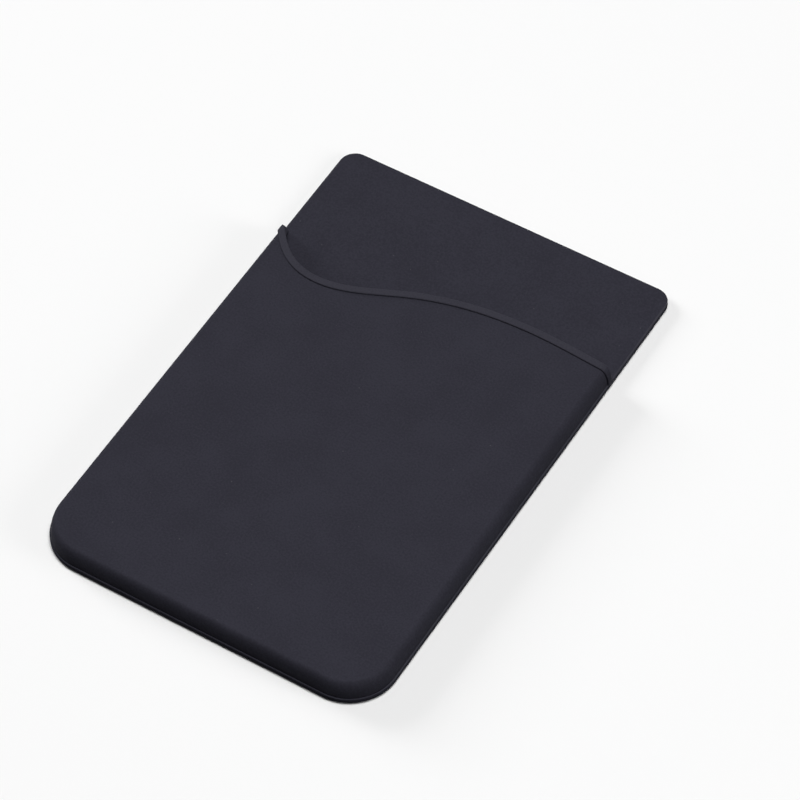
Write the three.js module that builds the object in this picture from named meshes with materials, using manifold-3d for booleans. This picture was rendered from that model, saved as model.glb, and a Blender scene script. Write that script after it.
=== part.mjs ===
// Stick-on pocket.
// One soft silicone moulding, a thin back sheet with a flat pocket on it, and
// the adhesive pad that sticks it to a flat surface.
// Millimetres, +Z out of the front, +Y towards the mouth of the pocket.
// The origin is the middle of the pad's underside.

import * as THREE from 'three';
import { mergeVertices } from 'three/addons/utils/BufferGeometryUtils.js';
import Module from 'manifold-3d';

const wasm = await Module();
wasm.setup();

// Back sheet
const SHEET_WIDTH = 56.2;
const SHEET_LENGTH = 85;
const SHEET_THICKNESS = 0.8;
const LOWER_CORNER_RADIUS = 7.3;
const UPPER_CORNER_RADIUS = 2.6;

// Pocket: its foot stands a little inside the edge of the sheet
const LEDGE = 0.2;
const HOLLOW_DEPTH = 1.9;
const FRONT_THICKNESS = 0.9;
const SIDE_THICKNESS = 0.7;
const OUTER_ROLL = 1.2;
const INNER_ROLL = 0.6;

// Mouth: a wave with its low point on the left and its crest on the right
const SHEET_ABOVE_CREST = 17.5;
const CREST_FROM_RIGHT = 12.8;
const DIP_DEPTH = 7.8;
const DIP_FROM_LEFT = 10.7;
const SWELL_FROM_LEFT = 23.1;
const SWELL_ABOVE_DIP = 4.1;
const SWELL_SLOPE = 0.42;
const LEFT_END_DROP = 0.2;
const LEFT_END_SLOPE = -1.78;
const RIGHT_END_DROP = 0.7;
const RIGHT_END_SLOPE = -0.06;

// Raised bead along the mouth
const BEAD_WIDTH = 1.15;
const BEAD_RISE = 0.3;

// Adhesive pad
const PAD_THICKNESS = 0.3;
const PAD_INSET = 1.5;

// Smoothness of the curves
const CORNER_STEPS = 8;
const ROLL_STEPS = 5;
const MOUTH_STEPS = 72;

// Heights above the underside of the pad
const sheetBack = PAD_THICKNESS;
const sheetFront = sheetBack + SHEET_THICKNESS;
const hollowTop = sheetFront + HOLLOW_DEPTH;
const pocketFront = hollowTop + FRONT_THICKNESS;
const beadFront = pocketFront + BEAD_RISE;

// Reach of the tools that cut past the edge of the sheet
const PAST_EDGE = 2;

// A closed surface as a solid that can be joined and cut
function solidFrom(geometry) {
  geometry.deleteAttribute('normal');
  geometry.deleteAttribute('uv');
  const merged = mergeVertices(geometry, 1e-5);
  const mesh = new wasm.Mesh({
    numProp: 3,
    vertProperties: new Float32Array(merged.attributes.position.array),
    triVerts: new Uint32Array(merged.index.array),
  });
  return new wasm.Manifold(mesh);
}

// A solid as a surface again, for the scene
function geometryFrom(solid) {
  const mesh = solid.getMesh();
  const geometry = new THREE.BufferGeometry();
  geometry.setAttribute('position', new THREE.BufferAttribute(mesh.vertProperties, 3));
  geometry.setIndex(new THREE.BufferAttribute(mesh.triVerts, 1));
  geometry.computeVertexNormals();
  return geometry;
}

// The sheet's outline drawn in by a distance, its corners shrinking with it
function outline(inset) {
  const right = SHEET_WIDTH / 2 - inset;
  const top = SHEET_LENGTH / 2 - inset;
  const low = Math.max(LOWER_CORNER_RADIUS - inset, LEDGE);
  const high = Math.max(UPPER_CORNER_RADIUS - inset, LEDGE);
  const quarter = Math.PI / 2;
  const shape = new THREE.Shape();
  shape.moveTo(low - right, -top);
  shape.absarc(right - low, low - top, low, -quarter, 0, false);
  shape.absarc(right - high, top - high, high, 0, quarter, false);
  shape.absarc(high - right, top - high, high, quarter, 2 * quarter, false);
  shape.absarc(low - right, low - top, low, 2 * quarter, 3 * quarter, false);
  return shape;
}

// A flat plate between two heights
function plate(shape, floor, ceiling) {
  const geometry = new THREE.ExtrudeGeometry(shape, {
    depth: ceiling - floor,
    bevelEnabled: false,
    curveSegments: CORNER_STEPS,
  });
  geometry.translate(0, 0, floor);
  return solidFrom(geometry);
}

// A slab whose front edge rolls over in a quarter of an ellipse, all round
function rolledSlab(inset, floor, ceiling, rollIn, rollUp) {
  const geometry = new THREE.ExtrudeGeometry(outline(inset + rollIn), {
    depth: ceiling - floor,
    bevelEnabled: true,
    bevelSize: rollIn,
    bevelThickness: rollUp,
    bevelSegments: ROLL_STEPS,
    curveSegments: CORNER_STEPS,
  });
  geometry.translate(0, 0, floor - rollUp);
  const aboveFloor = plate(outline(-PAST_EDGE), floor, ceiling + PAST_EDGE);
  return solidFrom(geometry).intersect(aboveFloor);
}

// The mouth seen from the front, from its left end to its right end
function mouthLine() {
  const left = -SHEET_WIDTH / 2;
  const right = SHEET_WIDTH / 2;
  const crest = SHEET_LENGTH / 2 - SHEET_ABOVE_CREST;
  const dip = crest - DIP_DEPTH;
  const stations = [
    { x: left, y: crest - LEFT_END_DROP, slope: LEFT_END_SLOPE },
    { x: left + DIP_FROM_LEFT, y: dip, slope: 0 },
    { x: left + SWELL_FROM_LEFT, y: dip + SWELL_ABOVE_DIP, slope: SWELL_SLOPE },
    { x: right - CREST_FROM_RIGHT, y: crest, slope: 0 },
    { x: right, y: crest - RIGHT_END_DROP, slope: RIGHT_END_SLOPE },
  ];
  const path = new THREE.Path();
  path.moveTo(stations[0].x, stations[0].y);
  for (let i = 1; i < stations.length; i += 1) {
    const from = stations[i - 1];
    const to = stations[i];
    const third = (to.x - from.x) / 3;
    path.bezierCurveTo(
      from.x + third, from.y + from.slope * third,
      to.x - third, to.y - to.slope * third,
      to.x, to.y,
    );
  }
  return path;
}

// Points along the mouth, moved down by a distance square to the line
function mouthPoints(down) {
  const path = mouthLine();
  const points = [];
  for (let i = 0; i <= MOUTH_STEPS; i += 1) {
    const point = path.getPointAt(i / MOUTH_STEPS);
    const tangent = path.getTangentAt(i / MOUTH_STEPS);
    points.push(new THREE.Vector2(point.x + tangent.y * down, point.y - tangent.x * down));
  }
  const first = points[0];
  const last = points[points.length - 1];
  const side = SHEET_WIDTH / 2 + PAST_EDGE;
  return [new THREE.Vector2(-side, first.y), ...points, new THREE.Vector2(side, last.y)];
}

// Everything below the mouth, and the strip that the bead covers
function belowMouth() {
  const side = SHEET_WIDTH / 2 + PAST_EDGE;
  const foot = -SHEET_LENGTH / 2 - PAST_EDGE;
  const shape = new THREE.Shape([
    new THREE.Vector2(-side, foot),
    new THREE.Vector2(side, foot),
    ...mouthPoints(0).reverse(),
  ]);
  return plate(shape, sheetBack, beadFront + PAST_EDGE);
}

function beadStrip() {
  const shape = new THREE.Shape([...mouthPoints(BEAD_WIDTH), ...mouthPoints(0).reverse()]);
  return plate(shape, sheetBack, beadFront + PAST_EDGE);
}

// The moulding: sheet, pocket wall and bead in one, with the room cut out
function pocket() {
  const sheet = plate(outline(0), sheetBack, sheetFront);
  const wall = rolledSlab(LEDGE, sheetBack, pocketFront, OUTER_ROLL, pocketFront - sheetFront);
  const swollen = rolledSlab(0, sheetBack, beadFront, OUTER_ROLL, beadFront - sheetFront);
  const bead = swollen.intersect(beadStrip());
  const room = rolledSlab(LEDGE + SIDE_THICKNESS, sheetFront, hollowTop, INNER_ROLL, HOLLOW_DEPTH);
  const front = wall.intersect(belowMouth()).add(bead).subtract(room);
  return geometryFrom(sheet.add(front));
}

function adhesivePad() {
  return geometryFrom(plate(outline(PAD_INSET), 0, PAD_THICKNESS));
}

const silicone = new THREE.MeshStandardMaterial({
  color: 0x34323c,
  roughness: 0.62,
  metalness: 0,
});
const adhesive = new THREE.MeshStandardMaterial({
  color: 0xd9d6cc,
  roughness: 0.45,
  metalness: 0,
});

const holder = new THREE.Group();

const pocketMesh = new THREE.Mesh(pocket(), silicone);
pocketMesh.name = 'pocket';
holder.add(pocketMesh);

const padMesh = new THREE.Mesh(adhesivePad(), adhesive);
padMesh.name = 'adhesive_pad';
holder.add(padMesh);

export default holder;
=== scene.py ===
# Stick-on pocket of soft silicone with a wavy, beaded mouth and an adhesive pad on its back.
# Metres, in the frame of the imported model: +X to the right, +Y towards the mouth, +Z out of the front.

import math

import bmesh
import bpy
import numpy as np
from mathutils import Matrix, Vector
from mathutils.geometry import interpolate_bezier


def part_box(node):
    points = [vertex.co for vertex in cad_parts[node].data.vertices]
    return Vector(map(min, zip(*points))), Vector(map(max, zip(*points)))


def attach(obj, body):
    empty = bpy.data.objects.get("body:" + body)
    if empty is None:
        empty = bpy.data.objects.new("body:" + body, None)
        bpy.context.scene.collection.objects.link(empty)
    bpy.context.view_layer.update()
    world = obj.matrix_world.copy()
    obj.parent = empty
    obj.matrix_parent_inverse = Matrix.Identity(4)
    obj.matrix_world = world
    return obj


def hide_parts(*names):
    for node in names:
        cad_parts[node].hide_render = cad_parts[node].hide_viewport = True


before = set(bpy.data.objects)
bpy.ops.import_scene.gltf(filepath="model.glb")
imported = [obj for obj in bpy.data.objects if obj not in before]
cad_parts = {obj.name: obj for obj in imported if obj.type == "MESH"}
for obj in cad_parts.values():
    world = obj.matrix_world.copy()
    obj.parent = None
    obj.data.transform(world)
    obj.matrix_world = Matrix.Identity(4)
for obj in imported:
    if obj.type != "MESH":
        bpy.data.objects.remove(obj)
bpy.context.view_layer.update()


# Silicone moulding, the body of the pocket
# Moulded in one piece from black silicone rubber: a thin back sheet with rounded corners, and a flat
# front wall whose edges roll down to the sheet on three sides. It's matt, as it left the mould.
MM = 0.001
moulding_low, moulding_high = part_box("pocket")
HALF_WIDTH = (moulding_high.x - moulding_low.x) / 2
HALF_LENGTH = (moulding_high.y - moulding_low.y) / 2
BEAD_RISE = 0.3 * MM
FRONT_WALL = 0.9 * MM
ROOM_DEPTH = 1.9 * MM
SHEET_BACK = moulding_low.z
FACE = moulding_high.z - BEAD_RISE
ROOM_TOP = FACE - FRONT_WALL
SHEET_FRONT = ROOM_TOP - ROOM_DEPTH

LOWER_RADIUS = 7.3 * MM
UPPER_RADIUS = 2.6 * MM
LEAST_RADIUS = 0.2 * MM
CORNER_STEPS = 22

LEDGE = 0.2 * MM
SIDE_WALL = 0.7 * MM
OUTER_ROLL = 1.2 * MM
INNER_ROLL = 0.6 * MM
ROLL_STEPS = 20
SHEET_EDGE = 0.08 * MM
EDGE_STEPS = 5
FOOT_IN_SHEET = 0.3 * MM
WALL_FLAT_RINGS = (0.15 * MM, 0.6 * MM, 2 * MM)
SHEET_FLAT_RINGS = (0.1 * MM, 0.5 * MM)
PAST = 2 * MM


def outline(inset):
    """Points round the sheet's edge drawn in by a distance, anticlockwise from the lower right."""
    points = []
    corners = (
        (1, -1, LOWER_RADIUS),
        (1, 1, UPPER_RADIUS),
        (-1, 1, UPPER_RADIUS),
        (-1, -1, LOWER_RADIUS),
    )
    for turn, (side, end, full_radius) in enumerate(corners):
        radius = max(full_radius - inset, LEAST_RADIUS)
        middle = Vector((side * (HALF_WIDTH - inset - radius), end * (HALF_LENGTH - inset - radius)))
        for step in range(CORNER_STEPS + 1):
            angle = math.radians(90) * (turn - 1 + step / CORNER_STEPS)
            points.append(middle + radius * Vector((math.cos(angle), math.sin(angle))))
    return points


def ring(inset, height):
    return [point.to_3d() + Vector((0, 0, height)) for point in outline(inset)]


def roll_profile(roll, rise):
    """Offsets in and up along a quarter of an ellipse, from the upright side to the flat top."""
    offsets = []
    for step in range(ROLL_STEPS + 1):
        turn = math.radians(90) * step / ROLL_STEPS
        offsets.append((roll * (1 - math.cos(turn)), rise * math.sin(turn)))
    return offsets


def rolled(inset, foot, shoulder, top, roll):
    """Rings up a wall from its foot, over its rolled edge and a little way onto the flat."""
    rings = [ring(inset, foot)]
    for inward, up in roll_profile(roll, top - shoulder):
        rings.append(ring(inset + inward, shoulder + up))
    for further in WALL_FLAT_RINGS:
        rings.append(ring(inset + roll + further, top))
    return rings


def lofted(name, rings):
    """A closed solid through rings of as many points each, capped at both ends."""
    shape = bmesh.new()
    rows = [[shape.verts.new(point) for point in points] for points in rings]
    for lower, upper in zip(rows, rows[1:]):
        for here in range(len(lower)):
            there = (here + 1) % len(lower)
            shape.faces.new((lower[here], lower[there], upper[there], upper[here]))
    shape.faces.new(rows[0][::-1])
    shape.faces.new(rows[-1])
    mesh = bpy.data.meshes.new(name)
    shape.to_mesh(mesh)
    shape.free()
    solid = bpy.data.objects.new(name, mesh)
    bpy.context.collection.objects.link(solid)
    return solid


def sheet_rings():
    """Rings up the sheet's side, with both of its edges rounded, and a little way onto its front."""
    rings = []
    for step in range(EDGE_STEPS + 1):
        turn = math.radians(90) * step / EDGE_STEPS
        inset = SHEET_EDGE * (1 - math.sin(turn))
        rings.append(ring(inset, SHEET_BACK + SHEET_EDGE * (1 - math.cos(turn))))
    for step in range(EDGE_STEPS + 1):
        turn = math.radians(90) * step / EDGE_STEPS
        inset = SHEET_EDGE * (1 - math.cos(turn))
        rings.append(ring(inset, SHEET_FRONT - SHEET_EDGE * (1 - math.sin(turn))))
    for further in SHEET_FLAT_RINGS:
        rings.append(ring(SHEET_EDGE + further, SHEET_FRONT))
    return rings


sheet = lofted("sheet", sheet_rings())
wall_foot = SHEET_FRONT - FOOT_IN_SHEET
wall = lofted("wall", rolled(LEDGE, wall_foot, SHEET_FRONT, FACE, OUTER_ROLL))
room = lofted("room", rolled(LEDGE + SIDE_WALL, wall_foot - PAST, SHEET_FRONT, ROOM_TOP, INNER_ROLL))


# Mouth of the pocket
# The front wall ends in a wave, low on the left and high on the right, so that a thumb reaches what
# the pocket holds. The wall is trimmed inside the bead, which gives its end a round edge.
SHEET_ABOVE_CREST = 17.5 * MM
DIP_DEPTH = 7.8 * MM
SWELL_ABOVE_DIP = 4.1 * MM
CREST = HALF_LENGTH - SHEET_ABOVE_CREST
DIP = CREST - DIP_DEPTH
SWELL = DIP + SWELL_ABOVE_DIP
LEFT_END_DROP = 0.2 * MM
RIGHT_END_DROP = 0.7 * MM
DIP_FROM_LEFT = 10.7 * MM
SWELL_FROM_LEFT = 23.1 * MM
CREST_FROM_RIGHT = 12.8 * MM
LEFT_SLOPE = -1.78
SWELL_SLOPE = 0.42
RIGHT_SLOPE = -0.06
MOUTH_STEPS = 60
BEAD_WIDTH = 1.15 * MM


def mouth(down):
    """The mouth seen from the front, left to right, moved down square to itself."""
    stations = (
        (-HALF_WIDTH, CREST - LEFT_END_DROP, LEFT_SLOPE),
        (DIP_FROM_LEFT - HALF_WIDTH, DIP, 0),
        (SWELL_FROM_LEFT - HALF_WIDTH, SWELL, SWELL_SLOPE),
        (HALF_WIDTH - CREST_FROM_RIGHT, CREST, 0),
        (HALF_WIDTH, CREST - RIGHT_END_DROP, RIGHT_SLOPE),
    )
    line = []
    for (x0, y0, slope0), (x1, y1, slope1) in zip(stations, stations[1:]):
        third = (x1 - x0) / 3
        start = Vector((x0, y0))
        leaving = Vector((x0 + third, y0 + slope0 * third))
        arriving = Vector((x1 - third, y1 - slope1 * third))
        end = Vector((x1, y1))
        line += interpolate_bezier(start, leaving, arriving, end, MOUTH_STEPS)[:-1]
    line.append(Vector(stations[-1][:2]))
    moved = []
    for index, point in enumerate(line):
        before = line[max(index - 1, 0)]
        after = line[min(index + 1, len(line) - 1)]
        along = (after - before).normalized()
        moved.append(point + down * Vector((along.y, -along.x)))
    return moved


trim = mouth(BEAD_WIDTH / 2)
reach = HALF_WIDTH + PAST
trim = [Vector((-reach, trim[0].y)), *trim, Vector((reach, trim[-1].y))]
trim += [Vector((reach, HALF_LENGTH + PAST)), Vector((-reach, HALF_LENGTH + PAST))]
trim_rings = []
for end_height in (-PAST, moulding_high.z + PAST):
    trim_rings.append([point.to_3d() + Vector((0, 0, end_height)) for point in trim])
mouth_cutter = lofted("mouth_cutter", trim_rings)


# Bead along the mouth
# A raised, round-edged rim that is moulded with the wall. It keeps the soft edge from tearing, follows
# the mouth across the front and runs down over both rolled sides to the sheet.
BEAD_DEPTH = 0.88 * MM
BEAD_CORNER = 0.17 * MM
BEAD_CORNER_STEPS = 6
BEAD_STEP = 0.35 * MM
FRONT_POINTS = 4 * MOUTH_STEPS
LEFT_END_SCALE = 1.15
RIGHT_END_SCALE = 0.82


def bead_path():
    """Points on the wall along the middle of the bead, with outward directions and scales."""
    middle = mouth(BEAD_WIDTH / 2)
    across = [point.x for point in middle]
    along = [point.y for point in middle]
    rise = FACE - SHEET_FRONT
    points, directions, scales = [], [], []

    def add(x, z, direction, scale):
        points.append(Vector((x, np.interp(x, across, along), z)))
        directions.append(direction.normalized())
        scales.append(scale)

    foot = HALF_WIDTH - LEDGE
    flat = foot - OUTER_ROLL
    profile = roll_profile(OUTER_ROLL, rise)
    below = SHEET_FRONT - FOOT_IN_SHEET
    add(-foot, below, Vector((-1, 0, 0)), LEFT_END_SCALE)
    for side, end_scale in ((-1, LEFT_END_SCALE), (1, RIGHT_END_SCALE)):
        if side > 0:
            for x in np.linspace(-flat, flat, FRONT_POINTS)[1:-1]:
                add(float(x), FACE, Vector((0, 0, 1)), 1)
        for index in range(ROLL_STEPS + 1)[::-side]:
            inward, up = profile[index]
            near, far = profile[max(index - 1, 0)], profile[min(index + 1, ROLL_STEPS)]
            direction = Vector((side * (far[1] - near[1]), 0, far[0] - near[0]))
            scale = end_scale + (1 - end_scale) * up / rise
            add(side * (foot - inward), SHEET_FRONT + up, direction, scale)
    add(foot, below, Vector((1, 0, 0)), RIGHT_END_SCALE)
    return points, directions, scales


def path_object(name, points, directions, scales):
    """A chain of edges that carries the direction and the scale of the section at each point."""
    mesh = bpy.data.meshes.new(name)
    mesh.from_pydata(points, [(i, i + 1) for i in range(len(points) - 1)], [])
    outward = mesh.attributes.new("outward", "FLOAT_VECTOR", "POINT")
    outward.data.foreach_set("vector", [value for direction in directions for value in direction])
    section_scale = mesh.attributes.new("section_scale", "FLOAT", "POINT")
    section_scale.data.foreach_set("value", scales)
    path = bpy.data.objects.new(name, mesh)
    bpy.context.collection.objects.link(path)
    return path


def bead_tree():
    """Geometry Nodes that sweep a round-edged section along a path that lies on a surface."""
    tree = bpy.data.node_groups.new("bead along a path", "GeometryNodeTree")
    sockets = (
        ("Path", "NodeSocketGeometry"),
        ("Width", "NodeSocketFloat"),
        ("Height", "NodeSocketFloat"),
        ("Rise", "NodeSocketFloat"),
        ("Corner", "NodeSocketFloat"),
        ("Corner steps", "NodeSocketInt"),
        ("Step", "NodeSocketFloat"),
        ("Material", "NodeSocketMaterial"),
    )
    for name, kind in sockets:
        tree.interface.new_socket(name, in_out="INPUT", socket_type=kind)
    tree.interface.new_socket("Bead", in_out="OUTPUT", socket_type="NodeSocketGeometry")

    def node(kind, settings=(), **values):
        made = tree.nodes.new(kind)
        for name, setting in dict(settings).items():
            setattr(made, name, setting)
        for name, value in values.items():
            socket = made.inputs[name.replace("_", " ")]
            if isinstance(value, bpy.types.NodeSocket):
                tree.links.new(value, socket)
            else:
                socket.default_value = value
        return made

    given = tree.nodes.new("NodeGroupInput").outputs
    outward = node("GeometryNodeInputNamedAttribute", {"data_type": "FLOAT_VECTOR"}, Name="outward")
    scale = node("GeometryNodeInputNamedAttribute", {"data_type": "FLOAT"}, Name="section_scale")
    curve = node("GeometryNodeMeshToCurve", Mesh=given["Path"])
    by_length = {"mode": "LENGTH"}
    even = node("GeometryNodeResampleCurve", by_length, Curve=curve.outputs[0], Length=given["Step"])
    turned = node(
        "GeometryNodeSetCurveNormal", {"mode": "FREE"}, Curve=even.outputs[0], Normal=outward.outputs[0]
    )
    section = node(
        "GeometryNodeCurvePrimitiveQuadrilateral", Width=given["Height"], Height=given["Width"]
    )
    rounded = node(
        "GeometryNodeFilletCurve",
        {"mode": "POLY"},
        Curve=section.outputs[0],
        Radius=given["Corner"],
        Count=given["Corner steps"],
    )
    half = node("ShaderNodeMath", {"operation": "MULTIPLY"})
    tree.links.new(given["Height"], half.inputs[0])
    half.inputs[1].default_value = 0.5
    sunk = node("ShaderNodeMath", {"operation": "SUBTRACT"})
    tree.links.new(given["Rise"], sunk.inputs[0])
    tree.links.new(half.outputs[0], sunk.inputs[1])
    shift = node("ShaderNodeCombineXYZ", X=sunk.outputs[0])
    placed = node("GeometryNodeTransform", Geometry=rounded.outputs[0], Translation=shift.outputs[0])
    swept = node(
        "GeometryNodeCurveToMesh",
        Curve=turned.outputs[0],
        Profile_Curve=placed.outputs[0],
        Scale=scale.outputs[0],
        Fill_Caps=True,
    )
    real = node("GeometryNodeRealizeInstances", Geometry=swept.outputs[0])
    finished = node("GeometryNodeSetMaterial", Geometry=real.outputs[0], Material=given["Material"])
    result = tree.nodes.new("NodeGroupOutput")
    tree.links.new(finished.outputs[0], result.inputs[0])
    return tree


def set_inputs(modifier, **values):
    """Sets a modifier's named inputs by the identifiers of their sockets."""
    for socket in modifier.node_group.interface.items_tree:
        key = socket.name.lower().replace(" ", "_")
        if socket.in_out == "INPUT" and key in values:
            modifier[socket.identifier] = values[key]


def plain_mesh(shape, name):
    """The evaluated object as a mesh without modifiers."""
    bpy.context.view_layer.update()
    evaluated = shape.evaluated_get(bpy.context.evaluated_depsgraph_get())
    mesh = bpy.data.meshes.new_from_object(evaluated)
    mesh.name = name
    return mesh


silicone = bpy.data.materials.new("matt black silicone")
bead = path_object("bead", *bead_path())
sweep = bead.modifiers.new("bead", "NODES")
sweep.node_group = bead_tree()
set_inputs(
    sweep,
    width=BEAD_WIDTH,
    height=BEAD_DEPTH + BEAD_RISE,
    rise=BEAD_RISE,
    corner=BEAD_CORNER,
    corner_steps=BEAD_CORNER_STEPS,
    step=BEAD_STEP,
    material=silicone,
)
bead_mesh = plain_mesh(bead, "bead")
bead.modifiers.clear()
bead.data = bead_mesh


# Moulding put together
# Sheet, wall and bead leave the mould as one body, with the room that the core of the mould leaves
# open towards the mouth.
CREASE_ANGLE = math.radians(32)


def combine(shape, steps):
    for operation, other in steps:
        modifier = shape.modifiers.new(operation.lower(), "BOOLEAN")
        modifier.operation = operation
        modifier.solver = "MANIFOLD"
        modifier.object = other


combine(wall, [("DIFFERENCE", mouth_cutter), ("UNION", bead), ("DIFFERENCE", room), ("UNION", sheet)])
pocket = bpy.data.objects.new("silicone_pocket", plain_mesh(wall, "silicone_pocket"))
bpy.context.collection.objects.link(pocket)
for tool in (wall, bead, room, sheet, mouth_cutter):
    bpy.data.objects.remove(tool)
pocket.data.shade_smooth()
pocket.data.set_sharp_from_angle(angle=CREASE_ANGLE)
pocket.data.materials.clear()
pocket.data.materials.append(silicone)


# Finish of the silicone
# Black silicone, faintly violet and slightly mottled, with a fine grain from the blasted mould. The
# top of the bead is painted lighter, a painted highlight, and a patchy painted highlight lies along
# the ledge at both sides. The rubber holds specks of dust.
class Shade:
    """A socket of a shader tree, which sums and products can be written with."""

    def __init__(self, tree, socket=None):
        self.tree = tree
        self.socket = socket

    def node(self, kind, settings=(), values=(), output=0):
        """Any node: its settings first, then the values or links of its sockets."""
        made = self.tree.nodes.new(kind)
        for name, setting in dict(settings).items():
            setattr(made, name, setting)
        for name, value in dict(values).items():
            if isinstance(value, Shade):
                self.tree.links.new(value.socket, made.inputs[name])
            else:
                made.inputs[name].default_value = value
        return Shade(self.tree, made.outputs[output] if made.outputs else None)

    def maths(self, operation, first, second):
        return self.node("ShaderNodeMath", {"operation": operation}, {0: first, 1: second})

    def __add__(self, other):
        return self.maths("ADD", self, other)

    def __radd__(self, other):
        return self.maths("ADD", other, self)

    def __sub__(self, other):
        return self.maths("SUBTRACT", self, other)

    def __rsub__(self, other):
        return self.maths("SUBTRACT", other, self)

    def __mul__(self, other):
        return self.maths("MULTIPLY", self, other)

    def __rmul__(self, other):
        return self.maths("MULTIPLY", other, self)

    def __lt__(self, other):
        return self.maths("LESS_THAN", self, other)

    def __gt__(self, other):
        return self.maths("GREATER_THAN", self, other)

    def blend(self, first, second):
        """A colour between two, by this mask."""
        settings = {"data_type": "RGBA"}
        return self.node("ShaderNodeMix", settings, {0: self, 6: first, 7: second}, output=2)


SILICONE_DARK = (0.0266, 0.0260, 0.0354, 1)
SILICONE_LIGHT = (0.0324, 0.0318, 0.0432, 1)
# painted highlight: the colour that the top of the bead is painted
BEAD_HIGHLIGHT_COLOR = (0.0388, 0.0380, 0.0496, 1)
# colour of the dust specks and of the painted highlight along the ledge
DUST_AND_HIGHLIGHT_COLOR = (0.11, 0.11, 0.12, 1)
SILICONE_ROUGHNESS = 0.6
SILICONE_IOR = 1.41
SILICONE_SPECULAR = 0.02
GRAIN = 0.16 * MM
GRAIN_HEIGHT = 0.006 * MM
CLOUD = 6 * MM
CLOUD_CONTRAST = 1.7
FLECK = 0.3 * MM
FLECK_CONTRAST = 2.8
SPECK_SPACING = 3 * MM
SPECK_RADIUS = 0.09 * MM
SPECK_SHARE = 0.35
# painted highlight along the ledge at both sides: its width, patch size and share
LEDGE_HIGHLIGHT_WIDTH = 0.27 * MM
LEDGE_HIGHLIGHT_LENGTH = 7 * MM
LEDGE_HIGHLIGHT_SHARE = 0.25
ON_SHEET_BELOW = SHEET_FRONT + 0.05 * MM
ON_LEDGE_ABOVE = SHEET_FRONT - 0.1 * MM
# painted highlight on the top of the bead: where it starts, its share and how much it follows the mottle
BEAD_HIGHLIGHT_ABOVE = FACE + 0.08 * MM
BEAD_HIGHLIGHT_SHARE = 0.8
BEAD_HIGHLIGHT_MOTTLE = 0.4
CLOUD_ROUGHNESS = 0.12
SHEET_ROUGHNESS = 0.12
SPECK_ROUGHNESS = 0.2


def finish_silicone(material):
    material.use_nodes = True
    tree = material.node_tree
    shader = tree.nodes["Principled BSDF"]
    place = Shade(tree).node("ShaderNodeTexCoord", output="Object")

    def noise(size, detail):
        settings = {"noise_dimensions": "3D"}
        values = {"Vector": place, "Scale": 1 / size, "Detail": detail}
        return place.node("ShaderNodeTexNoise", settings, values)

    clouds = noise(CLOUD, 4)
    grain = noise(GRAIN, 2)
    mottle = (clouds - 0.5) * CLOUD_CONTRAST + (noise(FLECK, 1) - 0.5) * FLECK_CONTRAST
    specks = place.node("ShaderNodeTexVoronoi", {}, {"Vector": place, "Scale": 1 / SPECK_SPACING})
    speck = specks < SPECK_RADIUS / SPECK_SPACING
    across = place.node("ShaderNodeSeparateXYZ", values={0: place}, output="X")
    height = place.node("ShaderNodeSeparateXYZ", values={0: place}, output="Z")
    on_sheet = height < ON_SHEET_BELOW
    at_side = across.maths("ABSOLUTE", across, 0) > HALF_WIDTH - LEDGE_HIGHLIGHT_WIDTH
    # a patchy painted highlight on the ledge along both long sides
    ledge_highlight = at_side * on_sheet * (height > ON_LEDGE_ABOVE) * noise(LEDGE_HIGHLIGHT_LENGTH, 2)
    # the top of the bead is painted lighter, a painted highlight
    bead_highlight_mask = height > BEAD_HIGHLIGHT_ABOVE
    color = (mottle + 0.5).blend(SILICONE_DARK, SILICONE_LIGHT)
    color = (bead_highlight_mask * (mottle * BEAD_HIGHLIGHT_MOTTLE + BEAD_HIGHLIGHT_SHARE)).blend(color, BEAD_HIGHLIGHT_COLOR)
    # dust specks and the painted highlight along the ledge
    color = (speck * SPECK_SHARE + ledge_highlight * LEDGE_HIGHLIGHT_SHARE).blend(color, DUST_AND_HIGHLIGHT_COLOR)
    tree.links.new(color.socket, shader.inputs["Base Color"])
    roughness = SILICONE_ROUGHNESS + (clouds - 0.5) * CLOUD_ROUGHNESS
    roughness = roughness + on_sheet * SHEET_ROUGHNESS + speck * SPECK_ROUGHNESS
    tree.links.new(roughness.socket, shader.inputs["Roughness"])
    relief = {"Height": grain, "Distance": GRAIN_HEIGHT, "Strength": 1.0}
    bump = place.node("ShaderNodeBump", {}, relief)
    tree.links.new(bump.socket, shader.inputs["Normal"])
    shader.inputs["IOR"].default_value = SILICONE_IOR
    shader.inputs["Specular IOR Level"].default_value = SILICONE_SPECULAR


finish_silicone(silicone)
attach(pocket, "root")
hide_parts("pocket")


# Adhesive pad
# A die-cut sheet of thin double-sided adhesive foam, bonded to the back of the moulding a little
# inside its edge.
pad_low, pad_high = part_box("adhesive_pad")
PAD_INSET = HALF_WIDTH - pad_high.x
PAD_EDGE = 0.04 * MM
PAD_COLOR = (0.62, 0.60, 0.53, 1)
PAD_SHADE = (0.54, 0.52, 0.45, 1)
PAD_ROUGHNESS = 0.42
PAD_ROUGHNESS_SPREAD = 0.2
PAD_CELL = 0.5 * MM
PAD_CELL_HEIGHT = 0.01 * MM
PAD_CLOUD = 6 * MM


def pad_rings():
    """Rings up the pad's side, its lower edge slightly broken."""
    return [
        ring(PAD_INSET + PAD_EDGE, pad_low.z),
        ring(PAD_INSET, pad_low.z + PAD_EDGE),
        ring(PAD_INSET, pad_high.z),
    ]


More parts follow.
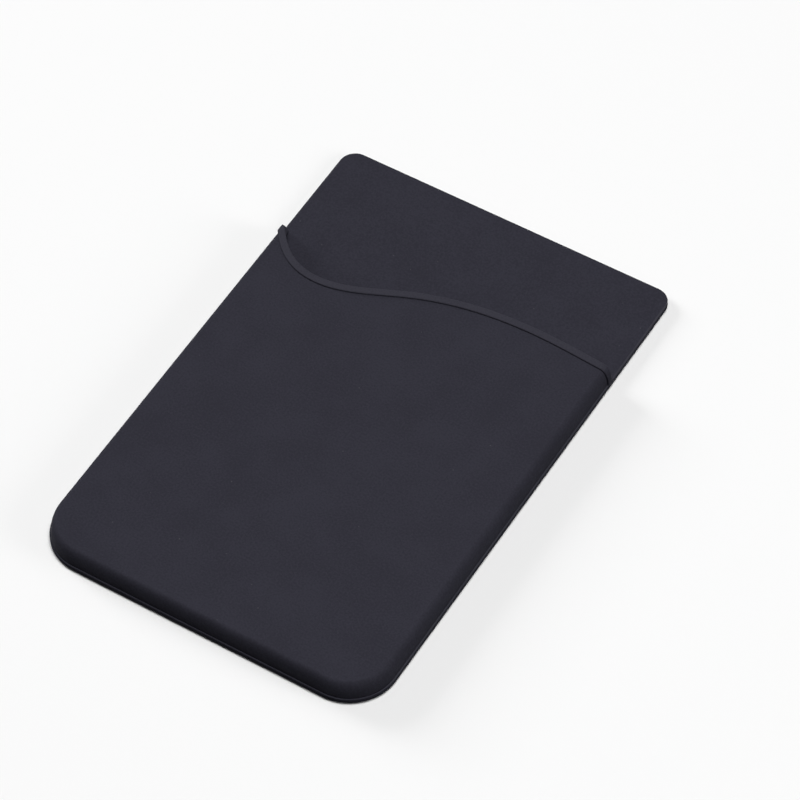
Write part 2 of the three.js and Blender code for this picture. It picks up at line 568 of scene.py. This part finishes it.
def finish_pad(material):
    material.use_nodes = True
    tree = material.node_tree
    shader = tree.nodes["Principled BSDF"]
    place = Shade(tree).node("ShaderNodeTexCoord", output="Object")
    fine = {"Vector": place, "Scale": 1 / PAD_CELL, "Detail": 4}
    cells = place.node("ShaderNodeTexNoise", {}, fine)
    broad = {"Vector": place, "Scale": 1 / PAD_CLOUD, "Detail": 2}
    clouds = place.node("ShaderNodeTexNoise", {}, broad)
    color = clouds.blend(PAD_COLOR, PAD_SHADE)
    tree.links.new(color.socket, shader.inputs["Base Color"])
    roughness = PAD_ROUGHNESS + (cells - 0.5) * PAD_ROUGHNESS_SPREAD
    tree.links.new(roughness.socket, shader.inputs["Roughness"])
    relief = {"Height": cells, "Distance": PAD_CELL_HEIGHT, "Strength": 1.0}
    bump = place.node("ShaderNodeBump", {}, relief)
    tree.links.new(bump.socket, shader.inputs["Normal"])


pad = lofted("tape_pad", pad_rings())
pad.data.shade_flat()
adhesive = bpy.data.materials.new("pale adhesive foam")
pad.data.materials.append(adhesive)
finish_pad(adhesive)
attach(pad, "root")
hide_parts("adhesive_pad")


# Floor, light and camera
# A pale floor that stays pale for the camera and in reflections, while the light that it throws back
# is that of a grey one. It fades into the pale backdrop. Soft boxes stand above and to both sides.
FLOOR_PALE = (0.90, 0.90, 0.90, 1)
FLOOR_GREY = (0.08, 0.08, 0.08, 1)
FLOOR_SIZE = 1.4
FADE_FROM = 0.15
FADE_TO = 0.6
FLOOR_DROP = 0.01 * MM
WORLD_DIM = 0.05
WORLD_PALE = 0.88


def seen_directly(tree):
    """One for rays from the camera and for those that mirror or pass through, zero for the rest."""
    rays = Shade(tree).node("ShaderNodeLightPath", output="Is Camera Ray")
    outputs = rays.socket.node.outputs
    mirrored = Shade(tree, outputs["Is Glossy Ray"])
    through = Shade(tree, outputs["Is Transmission Ray"])
    return rays.maths("MAXIMUM", rays.maths("MAXIMUM", rays, mirrored), through)


def finish_floor(material):
    material.use_nodes = True
    material.node_tree.nodes.clear()
    seen = seen_directly(material.node_tree)
    grey = seen.node("ShaderNodeBsdfDiffuse", {}, {"Color": FLOOR_GREY})
    pale = seen.node("ShaderNodeBsdfDiffuse", {}, {"Color": FLOOR_PALE})
    paint = seen.node("ShaderNodeMixShader", {}, {0: seen, 1: grey, 2: pale})
    place = seen.node("ShaderNodeTexCoord", output="Object")
    distance = seen.node("ShaderNodeVectorMath", {"operation": "LENGTH"}, {0: place}, output="Value")
    spread = {"Value": distance, "From Min": FADE_FROM, "From Max": FADE_TO}
    faded = seen.node("ShaderNodeMapRange", {"interpolation_type": "SMOOTHSTEP"}, spread)
    clear = seen.node("ShaderNodeBsdfTransparent")
    surface = seen.node("ShaderNodeMixShader", {}, {0: faded, 1: paint, 2: clear})
    seen.node("ShaderNodeOutputMaterial", {}, {"Surface": surface})


def finish_world(world):
    world.use_nodes = True
    world.node_tree.nodes.clear()
    seen = seen_directly(world.node_tree)
    dim = seen.node("ShaderNodeBackground", {}, {"Color": (1, 1, 1, 1), "Strength": WORLD_DIM})
    pale = seen.node("ShaderNodeBackground", {}, {"Color": (1, 1, 1, 1), "Strength": WORLD_PALE})
    mixed = seen.node("ShaderNodeMixShader", {}, {0: seen, 1: dim, 2: pale})
    seen.node("ShaderNodeOutputWorld", {}, {"Surface": mixed})


floor_mesh = bpy.data.meshes.new("floor")
half_floor = FLOOR_SIZE / 2
floor_corners = []
for x, y in ((-1, -1), (1, -1), (1, 1), (-1, 1)):
    floor_corners.append((x * half_floor, y * half_floor, -FLOOR_DROP))
floor_mesh.from_pydata(floor_corners, [], [(0, 1, 2, 3)])
floor = bpy.data.objects.new("floor", floor_mesh)
bpy.context.collection.objects.link(floor)
floor_paint = bpy.data.materials.new("pale floor")
finish_floor(floor_paint)
floor_mesh.materials.append(floor_paint)


def soft_box(name, place, size, watts):
    """A square area light that looks at the middle of the object."""
    lamp = bpy.data.lights.new(name, "AREA")
    lamp.shape = "SQUARE"
    lamp.size = size
    lamp.energy = watts
    box = bpy.data.objects.new(name, lamp)
    box.location = place
    box.rotation_euler = (-Vector(place)).to_track_quat("-Z", "Y").to_euler()
    bpy.context.collection.objects.link(box)


soft_box("overhead", place=(0.15, 0.0, 1.2), size=0.5, watts=12)
soft_box("right", place=(1.0, 0.15, 0.36), size=0.4, watts=2.8)
soft_box("left", place=(-1.0, 0.15, 0.36), size=0.4, watts=6.0)

scene = bpy.context.scene
scene.view_settings.view_transform = "Standard"
scene.world = bpy.data.worlds.new("studio")
finish_world(scene.world)

AZIMUTH = math.radians(33.79)
ELEVATION = math.radians(52.90)
ROLL = math.radians(-2.675)
DISTANCE = 602.68 * MM
LOOKED_AT = Vector((3.03, 6.51, 0)) * MM
LENS = 187.77
SENSOR = 36

back = Vector((
    math.sin(AZIMUTH) * math.cos(ELEVATION),
    -math.cos(AZIMUTH) * math.cos(ELEVATION),
    math.sin(ELEVATION),
))
level = (-back).cross(Vector((0, 0, 1))).normalized()
upright = level.cross(-back)
right = math.cos(ROLL) * level + math.sin(ROLL) * upright
top = math.cos(ROLL) * upright - math.sin(ROLL) * level
view = bpy.data.cameras.new("camera")
view.lens = LENS
view.sensor_width = SENSOR
camera = bpy.data.objects.new("camera", view)
turn = Matrix((right, top, back)).transposed().to_4x4()
camera.matrix_world = Matrix.Translation(LOOKED_AT + DISTANCE * back) @ turn
bpy.context.collection.objects.link(camera)
scene.camera = camera
